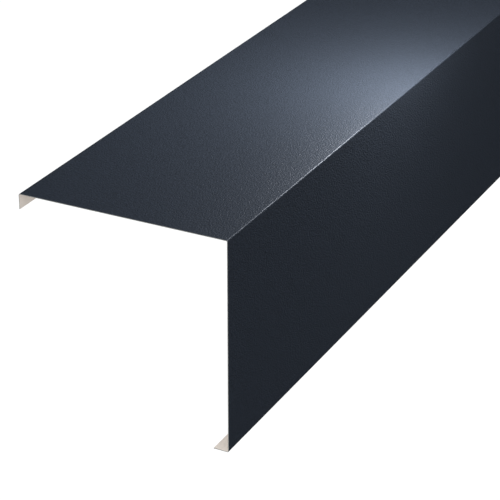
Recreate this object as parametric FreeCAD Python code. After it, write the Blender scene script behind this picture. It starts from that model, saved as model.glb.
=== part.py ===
import FreeCAD, Part
import math
import os

# External corner trim, folded from one strip of coated steel sheet.
# Millimetres. X points out through the side flange, Y runs along the trim and Z is up.
# The origin is on the inner corner line at mid-length: the top flange's underside lies
# in the plane z = 0, and the side flange's inner face in the plane x = 0.

# Driving sizes
LENGTH = 2000.0        # stock length, cut square at both ends
TOP_FLANGE = 145.0     # outside width of the top flange, from the corner to its lip
SIDE_FLANGE = 145.0    # outside width of the side flange, from the corner to its lip
TOP_LIP = 10.5         # outside width of the lip turned down at the top flange's free edge
SIDE_LIP = 10.5        # outside width of the lip turned in at the side flange's foot
SHEET = 0.45           # thickness of the sheet with its coats
BEND_RADIUS = 0.5      # inside radius of every fold, about one sheet's thickness
CORNER_TURN = 90.0     # degrees that the sheet turns at the corner
LIP_TURN = 90.0        # degrees that the sheet turns into each lip

# Sizes that follow from them
OUTER_RADIUS = BEND_RADIUS + SHEET
NEUTRAL_DEPTH = SHEET / 2

# The strip's legs in order: outside width, turn before the leg, turn after it
LEGS = [
    (TOP_LIP, 0.0, LIP_TURN),
    (TOP_FLANGE, LIP_TURN, CORNER_TURN),
    (SIDE_FLANGE, CORNER_TURN, LIP_TURN),
    (SIDE_LIP, LIP_TURN, 0.0),
]


def direction(heading):
    """Unit vector in the section's plane, heading in degrees from +X towards +Z."""
    angle = math.radians(heading)
    return FreeCAD.Vector(math.cos(angle), 0.0, math.sin(angle))


def inward(heading):
    """Unit vector from the outer coat into the sheet: the right-hand side of the walk."""
    return direction(heading - 90.0)


def setback(turn):
    """Length of a leg that a fold's outer arc takes up, from the sharp outside corner."""
    return OUTER_RADIUS * math.tan(math.radians(turn) / 2)


def straight_length(leg):
    """Flat stretch of a leg between the arcs at its two ends."""
    width, turn_before, turn_after = leg
    return width - setback(turn_before) - setback(turn_after)


def walk_start():
    """Outer corner of the top lip's cut edge, counted back from the corner's sharp point."""
    corner = FreeCAD.Vector(SHEET * math.tan(math.radians(CORNER_TURN) / 2), 0.0, SHEET)
    lip_corner = corner - direction(0.0) * TOP_FLANGE
    return lip_corner - direction(LIP_TURN) * TOP_LIP


def skin(depth):
    """Lines and tangent arcs of the section at one depth below the outer coat."""
    edges = []
    point = walk_start()
    heading = LIP_TURN
    radius = OUTER_RADIUS - depth
    for leg in LEGS:
        turn = leg[2]
        start = point + inward(heading) * depth
        point = point + direction(heading) * straight_length(leg)
        end = point + inward(heading) * depth
        edges.append(Part.LineSegment(start, end).toShape())
        if turn == 0.0:
            continue
        centre = point + inward(heading) * OUTER_RADIUS
        middle = centre - inward(heading - turn / 2) * radius
        heading = heading - turn
        arc_end = centre - inward(heading) * radius
        edges.append(Part.Arc(end, middle, arc_end).toShape())
        point = centre - inward(heading) * OUTER_RADIUS
    return edges


def section():
    """Closed face of the folded sheet: both skins joined by the two cut edges."""
    outer = skin(0.0)
    inner = skin(SHEET)
    top_cut = Part.LineSegment(outer[0].firstVertex().Point, inner[0].firstVertex().Point)
    side_cut = Part.LineSegment(outer[-1].lastVertex().Point, inner[-1].lastVertex().Point)
    edges = outer + inner + [top_cut.toShape(), side_cut.toShape()]
    return Part.Face(Part.Wire(Part.__sortEdges__(edges)))


def corner_trim():
    """The section carried along the trim, half the length each side of the origin."""
    profile = section()
    profile.translate(FreeCAD.Vector(0.0, -LENGTH / 2, 0.0))
    return profile.extrude(FreeCAD.Vector(0.0, LENGTH, 0.0))


def blank_width():
    """Width of the flat strip before folding, along the middle of the sheet."""
    return sum(edge.Length for edge in skin(NEUTRAL_DEPTH))


os.makedirs("parts", exist_ok=True)
trim = corner_trim()
trim.exportStep("parts/corner_trim.step")
print(f"flat blank {blank_width():.2f} x {LENGTH:.0f} mm, folded volume {trim.Volume:.0f} mm3")
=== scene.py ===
"""Looks of an external corner trim: one strip of grained, coil-coated steel sheet with three folds.

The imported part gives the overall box. The sheet is drawn again here with finer folds and three finishes:
the grained anthracite coat outside, the beige back coat inside, and the bare sheared edges.
"""

import math

import bpy
import numpy as np
from mathutils import Matrix, Vector


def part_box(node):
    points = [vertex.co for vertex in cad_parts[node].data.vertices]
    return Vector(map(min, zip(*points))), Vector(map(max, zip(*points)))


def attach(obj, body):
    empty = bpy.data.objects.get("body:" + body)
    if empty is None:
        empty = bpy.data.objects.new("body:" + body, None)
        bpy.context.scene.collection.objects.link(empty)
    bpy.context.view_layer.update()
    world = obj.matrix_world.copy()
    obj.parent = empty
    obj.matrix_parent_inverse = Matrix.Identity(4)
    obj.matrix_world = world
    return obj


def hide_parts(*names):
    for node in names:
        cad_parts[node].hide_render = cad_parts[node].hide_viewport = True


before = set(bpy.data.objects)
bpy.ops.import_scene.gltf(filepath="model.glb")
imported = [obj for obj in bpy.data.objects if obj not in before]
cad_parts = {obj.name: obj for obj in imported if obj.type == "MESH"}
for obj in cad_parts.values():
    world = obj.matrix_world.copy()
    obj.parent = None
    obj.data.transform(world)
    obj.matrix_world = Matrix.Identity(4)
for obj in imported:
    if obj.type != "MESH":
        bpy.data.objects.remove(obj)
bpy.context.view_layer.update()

MM = 0.001

# The sheet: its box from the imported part, and the two sizes that the box doesn't give
TRIM_LOW, TRIM_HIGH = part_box("corner_trim")
SHEET = TRIM_HIGH.x                     # the inner faces lie in the planes x = 0 and z = 0
TOP_FLANGE = TRIM_HIGH.x - TRIM_LOW.x
SIDE_FLANGE = TRIM_HIGH.z - TRIM_LOW.z
LIP = 10.5 * MM                         # outside width of either lip
BEND_RADIUS = 0.5 * MM                  # inside radius of every fold
QUARTER = math.pi / 2

# How finely the sheet is drawn
FOLD_STEPS = 14                         # facets round each fold
CLOSE_ROW = 0.4 * MM                    # a row this near each fold keeps the flat's shading flat
FLAT_STEP = 12 * MM                     # spacing of the rows across a flange
LENGTH_STEP = 40 * MM                   # spacing of the stations along the trim
SHARP_ANGLE = math.radians(50)          # only the cut edges turn more than this between two faces

# Finishes, as slots on the mesh
OUTSIDE, INSIDE, CUT = range(3)

# Camera, placed from the outer corner at the trim's near end
CAMERA_FROM_CORNER = Vector((497.8, -939.4, 516.2)) * MM
CAMERA_YAW = math.radians(-27.214)      # from +Y, positive towards +X
CAMERA_PITCH = math.radians(26.162)     # downwards
FOCAL_PIXELS = 2022.6
FRAME_PIXELS = 500
SENSOR_WIDTH = 36.0

# Grained coat
# The coat's anthracite, with painted shade in the wrinkles' valleys and painted light on their tops
COAT_SHADED_VALLEYS = "#151A20"
COAT_LIT_TOPS = "#303845"
WRINKLE = 0.8 * MM                      # width of a wrinkle
WRINKLE_SQUEEZE = 0.5                   # along the trim, so that a wrinkle is twice as long as wide
WANDER = 2.5 * MM
WANDER_SHIFT = 0.4 * MM
GRAIN_DEPTH = 0.39 * MM
FOLD_GRAIN = 0.3                        # share of the grain's depth that is left on the corner fold
FOLD_FADE = 0.6 * MM                    # x + z over which the grain grows shallower before the fold

# Back coat
BACK_VALLEYS = "#E3DCD5"
BACK_TOPS = "#EBE4DD"
RIB_WIDTH = 1.5 * MM
RIB_LENGTH = 40 * MM
PEEL = 2.5 * MM

# Cut edge
CUT_DULL = "#767876"
CUT_BRIGHT = "#AEB0AC"
CUT_MARK = 0.3 * MM
CUT_STRETCH = 6.0 * MM

SHALLOW = 0.03 * MM                     # depth of the back coat's and the cut edge's texture
PAINT_ROUGHNESS = 0.55
PAINT_IOR = 1.5

# Light
RIDGE_LAMP_FROM_CORNER = Vector((14.4, 269.3, 99.5)) * MM
RIDGE_LAMP_RADIUS = 10 * MM
RIDGE_LAMP_LIGHT = (3.54, "#FFF4E8")    # watts and colour of the light that the coat scatters
RIDGE_LAMP_GLOSS = (3.60, "#EEF4FF")    # and of the light that its gloss mirrors, which is cooler
GLOSS_FURTHER = Vector((0.0, 20.0, 0.0)) * MM       # from the first lamp's place to the second's
ROOM_HORIZON = 0.575                    # level of the room's light at eye height, all round
ROOM_SLOPE = (0.09, -0.56, 0.71)        # and its change along X, Y and Z: most from above and the front
MIRRORED_ROOM = 0.04                    # what gloss mirrors: a bright room would hide the coat's dark colour
FLOOR_DROP = 1.5                        # metres from the trim's foot down to the floor
FLOOR_HALF = 30.0                       # half of its width, in metres
FLOOR_PAPER = "#D8D8D8"
FLOOR_GLOW = 0.36                       # with the light that falls on it, just white to the camera


def linear(hex_colour):
    """sRGB hex to linear RGBA: c/12.92 below 0.04045, else ((c + 0.055)/1.055)^2.4."""
    values = np.array([int(hex_colour[i : i + 2], 16) for i in (1, 3, 5)]) / 255
    low = values / 12.92
    high = ((values + 0.055) / 1.055) ** 2.4
    return tuple(np.where(values <= 0.04045, low, high)) + (1.0,)


def add(tree, kind, settings=None, **inputs):
    """Adds one node: settings are its properties, inputs the values or the linked outputs of its sockets.

    An underscore stands for a space in a socket's name, and before a number it gives the socket's index.
    """
    node = tree.nodes.new(kind)
    for name, value in (settings or {}).items():
        setattr(node, name, value)
    for name, value in inputs.items():
        socket = node.inputs[int(name[1:])] if name[0] == "_" else node.inputs[name.replace("_", " ")]
        if isinstance(value, bpy.types.NodeSocket):
            tree.links.new(value, socket)
        else:
            socket.default_value = value
    return node


def new_material(name):
    """An empty node material with its output."""
    material = bpy.data.materials.new(name)
    material.use_nodes = True
    material.node_tree.nodes.clear()
    output = add(material.node_tree, "ShaderNodeOutputMaterial")
    return material, material.node_tree, output


def grained_coat():
    """Anthracite polyester coil coating, grained like fine leather: satin, with a close wrinkle.

    The wrinkles lie along the trim, bent by a wider wander. Their colour is the coat's anthracite with
    painted shade in the valleys and painted light on the tops.
    They are drawn deeper than a real coat's, so that the grain reads from a metre away as in the photograph.
    The fold stretches the coat, so the grain is shallower where x + z is above zero, on the fold's outside.
    """
    material, tree, output = new_material("grained_anthracite_coat")
    place = add(tree, "ShaderNodeTexCoord").outputs["Object"]
    wander = add(tree, "ShaderNodeTexNoise", Vector=place, Scale=1 / WANDER, Detail=1.0)
    shifted = add(tree, "ShaderNodeVectorMath", {"operation": "MULTIPLY_ADD"},
                  _0=wander.outputs["Color"], _1=(WANDER_SHIFT,) * 3, _2=place)
    drawn = add(tree, "ShaderNodeVectorMath", {"operation": "MULTIPLY"},
                _0=shifted.outputs[0], _1=(1.0, WRINKLE_SQUEEZE, 1.0))
    wrinkle = add(tree, "ShaderNodeTexNoise", Vector=drawn.outputs[0], Scale=1 / WRINKLE, Detail=1.0,
                  Roughness=0.5)
    # Painted shade and light: the coat is darker in the wrinkle valleys and paler on the tops, following the
    # wrinkle's height
    tone = add(tree, "ShaderNodeMix", {"data_type": "RGBA"}, _0=wrinkle.outputs[0],
               _6=linear(COAT_SHADED_VALLEYS), _7=linear(COAT_LIT_TOPS))
    past_fold = add(tree, "ShaderNodeVectorMath", {"operation": "DOT_PRODUCT"}, _0=place, _1=(1.0, 0.0, 1.0))
    depth = add(tree, "ShaderNodeMapRange", Value=past_fold.outputs["Value"], From_Min=-FOLD_FADE,
                From_Max=0.0, To_Min=1.0, To_Max=FOLD_GRAIN)
    bump = add(tree, "ShaderNodeBump", Strength=depth.outputs[0], Distance=GRAIN_DEPTH,
               Height=wrinkle.outputs[0])
    coat = add(tree, "ShaderNodeBsdfPrincipled", Base_Color=tone.outputs[2], Roughness=PAINT_ROUGHNESS,
               IOR=PAINT_IOR, Specular_IOR_Level=0.095, Normal=bump.outputs[0], Coat_Weight=0.12,
               Coat_Roughness=0.38, Coat_Normal=bump.outputs[0])
    tree.links.new(coat.outputs[0], output.inputs[0])
    return material


def back_coat():
    """Beige epoxy back coat, put on thin by a roller: nearly matt, with a faint ribbing and orange peel.

    The ribs lie along the trim, since the strip was coated as it ran lengthways.
    """
    material, tree, output = new_material("beige_back_coat")
    place = add(tree, "ShaderNodeTexCoord").outputs["Object"]
    drawn = add(tree, "ShaderNodeVectorMath", {"operation": "MULTIPLY"},
                _0=place, _1=(1.0, RIB_WIDTH / RIB_LENGTH, 1.0))
    ribs = add(tree, "ShaderNodeTexNoise", Vector=drawn.outputs[0], Scale=1 / RIB_WIDTH, Detail=1.0)
    peel = add(tree, "ShaderNodeTexNoise", Vector=place, Scale=1 / PEEL, Detail=2.0)
    height = add(tree, "ShaderNodeMath", {"operation": "ADD"}, _0=ribs.outputs[0], _1=peel.outputs[0])
    bump = add(tree, "ShaderNodeBump", Strength=1.0, Distance=SHALLOW, Height=height.outputs[0])
    tone = add(tree, "ShaderNodeMix", {"data_type": "RGBA"}, _0=ribs.outputs[0],
               _6=linear(BACK_VALLEYS), _7=linear(BACK_TOPS))
    coat = add(tree, "ShaderNodeBsdfPrincipled", Base_Color=tone.outputs[2], Roughness=PAINT_ROUGHNESS,
               IOR=PAINT_IOR, Normal=bump.outputs[0])
    tree.links.new(coat.outputs[0], output.inputs[0])
    return material


def sheared_edge():
    """Zinc-coated steel cut on the shear: a dull mid grey with fine marks, and paler in stretches."""
    material, tree, output = new_material("sheared_zinc_steel")
    place = add(tree, "ShaderNodeTexCoord").outputs["Object"]
    marks = add(tree, "ShaderNodeTexNoise", Vector=place, Scale=1 / CUT_MARK, Detail=1.0)
    stretches = add(tree, "ShaderNodeTexNoise", Vector=place, Scale=1 / CUT_STRETCH, Detail=1.0)
    both = add(tree, "ShaderNodeMix", Factor=0.5, A=marks.outputs[0], B=stretches.outputs[0])
    tone = add(tree, "ShaderNodeMix", {"data_type": "RGBA"}, _0=both.outputs[0],
               _6=linear(CUT_DULL), _7=linear(CUT_BRIGHT))
    bump = add(tree, "ShaderNodeBump", Strength=1.0, Distance=SHALLOW, Height=marks.outputs[0])
    edge = add(tree, "ShaderNodeBsdfPrincipled", Base_Color=tone.outputs[2], Metallic=0.2, Roughness=0.6,
               Normal=bump.outputs[0])
    tree.links.new(edge.outputs[0], output.inputs[0])
    return material


def heading_vector(angle):
    """Unit vectors (x, z) at these angles from +X towards +Z."""
    return np.stack([np.cos(angle), np.sin(angle)], axis=-1)


def rows_on_flat(length):
    """Distances along a flat: both ends, a close row beside each, and even rows between."""
    count = max(2, int(np.ceil((length - 2 * CLOSE_ROW) / FLAT_STEP)) + 1)
    between = np.linspace(CLOSE_ROW, length - CLOSE_ROW, count)
    return np.concatenate([[0.0], between, [length]])


def folded_strip():
    """Outer skin of the folded strip and the direction into the sheet, from lip to lip.

    Flats are straight runs p + t h. A fold is an arc about c = p + R n: c - R n(a), where n turns with the
    heading from its value before the fold to its value after it and R is the outer radius.
    """
    outer_radius = BEND_RADIUS + SHEET
    legs = [(LIP, 0, 1), (TOP_FLANGE, 1, 1), (SIDE_FLANGE, 1, 1), (LIP, 1, 0)]
    heading = QUARTER
    point = np.array([SHEET - TOP_FLANGE, SHEET - LIP])
    skin, inward = [], []
    for width, folds_before, folds_after in legs:
        rows = rows_on_flat(width - (folds_before + folds_after) * outer_radius)
        into_sheet = heading_vector(heading - QUARTER)
        skin.append(point + rows[:, None] * heading_vector(heading))
        inward.append(np.tile(into_sheet, (len(rows), 1)))
        if folds_after:
            centre = skin[-1][-1] + outer_radius * into_sheet
            turned = heading - QUARTER * np.arange(1, FOLD_STEPS) / FOLD_STEPS
            inward.append(heading_vector(turned - QUARTER))
            skin.append(centre - outer_radius * inward[-1])
            heading -= QUARTER
            point = centre - outer_radius * heading_vector(heading - QUARTER)
    return np.concatenate(skin), np.concatenate(inward)


def trim_sheet(coats):
    """The strip carried along Y at even stations, and closed by the two cut ends.

    A ring is the outer skin, then the inner skin back. The inner skin lies one sheet's
    thickness along the inward direction, so it has the folds' inner radius.
    """
    skin, inward = folded_strip()
    ring = np.concatenate([skin, (skin + SHEET * inward)[::-1]])
    across, around = len(skin), len(ring)
    steps = round((TRIM_HIGH.y - TRIM_LOW.y) / LENGTH_STEP)
    stations = np.linspace(TRIM_LOW.y, TRIM_HIGH.y, steps + 1)
    grid = np.empty((len(stations), around, 3))
    grid[:, :, 0] = ring[:, 0]
    grid[:, :, 1] = stations[:, None]
    grid[:, :, 2] = ring[:, 1]
    index = np.arange(grid.size // 3).reshape(len(stations), around)
    beside = np.roll(index, -1, axis=1)
    walls = np.stack([index[:-1], index[1:], beside[1:], beside[:-1]], axis=-1).reshape(-1, 4)
    outer = index[:, :across]
    inner = index[:, across:][:, ::-1]
    near_end = np.stack([outer[0, :-1], outer[0, 1:], inner[0, 1:], inner[0, :-1]], axis=-1)
    far_end = np.stack([outer[-1, :-1], inner[-1, :-1], inner[-1, 1:], outer[-1, 1:]], axis=-1)
    finish = np.full(around, CUT)
    finish[: across - 1] = OUTSIDE
    finish[across:-1] = INSIDE
    finishes = np.concatenate([np.tile(finish, steps), np.full(2 * (across - 1), CUT)])
    mesh = bpy.data.meshes.new("trim_sheet")
    mesh.from_pydata(grid.reshape(-1, 3).tolist(), [], np.concatenate([walls, near_end, far_end]).tolist())
    mesh.polygons.foreach_set("material_index", finishes.astype(np.int32))
    mesh.shade_smooth()
    mesh.set_sharp_from_angle(angle=SHARP_ANGLE)
    for coat in coats:
        mesh.materials.append(coat)
    piece = bpy.data.objects.new("trim_sheet", mesh)
    bpy.context.scene.collection.objects.link(piece)
    return piece


def near_corner():
    """Outer corner of the near end, from which the camera and the lamps are placed."""
    return Vector((TRIM_HIGH.x, TRIM_LOW.y, TRIM_HIGH.z))


def make_camera():
    """A camera at the photograph's angle; its lens is the focal length in pixels times sensor over frame."""
    forward = Vector((math.sin(CAMERA_YAW) * math.cos(CAMERA_PITCH),
                      math.cos(CAMERA_YAW) * math.cos(CAMERA_PITCH),
                      -math.sin(CAMERA_PITCH)))
    right = Vector((math.cos(CAMERA_YAW), -math.sin(CAMERA_YAW), 0.0))
    up = right.cross(forward)
    data = bpy.data.cameras.new("camera")
    data.sensor_width = SENSOR_WIDTH
    data.lens = FOCAL_PIXELS / FRAME_PIXELS * SENSOR_WIDTH
    camera = bpy.data.objects.new("camera", data)
    turn = Matrix((right, up, -forward)).transposed().to_4x4()
    camera.matrix_world = Matrix.Translation(near_corner() + CAMERA_FROM_CORNER) @ turn
    bpy.context.scene.collection.objects.link(camera)
    bpy.context.scene.camera = camera


def make_ridge_lamp():
    """A small lamp close above the fold, for the soft pool of light on both flanges.

    It is two lamps, one for scattered light and one for gloss: their colours and places differ a little.
    """
    place = near_corner() + RIDGE_LAMP_FROM_CORNER
    for name, (watts, colour), position, gloss in (
        ("ridge_light", RIDGE_LAMP_LIGHT, place, False),
        ("ridge_gloss", RIDGE_LAMP_GLOSS, place + GLOSS_FURTHER, True),
    ):
        data = bpy.data.lights.new(name, "POINT")
        data.energy = watts
        data.shadow_soft_size = RIDGE_LAMP_RADIUS
        data.color = linear(colour)[:3]
        lamp = bpy.data.objects.new(name, data)
        lamp.location = position
        lamp.visible_camera = False
        lamp.visible_diffuse = not gloss
        lamp.visible_glossy = gloss
        bpy.context.scene.collection.objects.link(lamp)


def ray_kinds(tree):
    """Light Path's node, and 1 for the rays that have to see a white background."""
    rays = add(tree, "ShaderNodeLightPath")
    seen = add(tree, "ShaderNodeMath", {"operation": "MAXIMUM"}, _0=rays.outputs["Is Camera Ray"],
               _1=rays.outputs["Is Transmission Ray"])
    return rays, seen.outputs[0]


def make_room():
    """White to the camera; soft light from all round for the trim.

    The level in direction d is ROOM_HORIZON + ROOM_SLOPE . d, and gloss mirrors a dim even room instead.
    """
    world = bpy.data.worlds.new("room")
    bpy.context.scene.world = world
    world.use_nodes = True
    tree = world.node_tree
    tree.nodes.clear()
    rays, seen = ray_kinds(tree)
    direction = add(tree, "ShaderNodeTexCoord").outputs["Generated"]
    slope = add(tree, "ShaderNodeVectorMath", {"operation": "DOT_PRODUCT"}, _0=direction, _1=ROOM_SLOPE)
    level = add(tree, "ShaderNodeMath", {"operation": "ADD"}, _0=slope.outputs["Value"], _1=ROOM_HORIZON)
    mirrored = add(tree, "ShaderNodeMix", Factor=rays.outputs["Is Glossy Ray"], A=level.outputs[0],
                   B=MIRRORED_ROOM)
    light = add(tree, "ShaderNodeBackground", Color=(1, 1, 1, 1), Strength=mirrored.outputs[0])
    white = add(tree, "ShaderNodeBackground", Color=(1, 1, 1, 1), Strength=1.0)
    mixed = add(tree, "ShaderNodeMixShader", _0=seen, _1=light.outputs[0], _2=white.outputs[0])
    add(tree, "ShaderNodeOutputWorld", _0=mixed.outputs[0])


def make_floor():
    """A plain pale floor well below the trim: it keeps the trim's shadow, and reads white to the camera."""
    half, height = FLOOR_HALF, TRIM_LOW.z - FLOOR_DROP
    mesh = bpy.data.meshes.new("floor")
    mesh.from_pydata([(-half, -half, height), (half, -half, height), (half, half, height),
                      (-half, half, height)], [], [(0, 1, 2, 3)])
    material, tree, output = new_material("pale_floor")
    rays, seen = ray_kinds(tree)
    level = add(tree, "ShaderNodeMath", {"operation": "MULTIPLY"}, _0=seen, _1=FLOOR_GLOW)
    paper = add(tree, "ShaderNodeBsdfDiffuse", Color=linear(FLOOR_PAPER))
    glow = add(tree, "ShaderNodeEmission", Color=(1, 1, 1, 1), Strength=level.outputs[0])
    both = add(tree, "ShaderNodeAddShader", _0=paper.outputs[0], _1=glow.outputs[0])
    mirrored = add(tree, "ShaderNodeEmission", Color=(1, 1, 1, 1), Strength=MIRRORED_ROOM)
    mixed = add(tree, "ShaderNodeMixShader", _0=rays.outputs["Is Glossy Ray"], _1=both.outputs[0],
                _2=mirrored.outputs[0])
    tree.links.new(mixed.outputs[0], output.inputs[0])
    mesh.materials.append(material)
    floor = bpy.data.objects.new("floor", mesh)
    bpy.context.scene.collection.objects.link(floor)


bpy.context.scene.view_settings.view_transform = "Standard"
make_camera()
make_ridge_lamp()
make_room()
make_floor()

trim = trim_sheet([grained_coat(), back_coat(), sheared_edge()])
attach(trim, "root")
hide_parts("corner_trim")
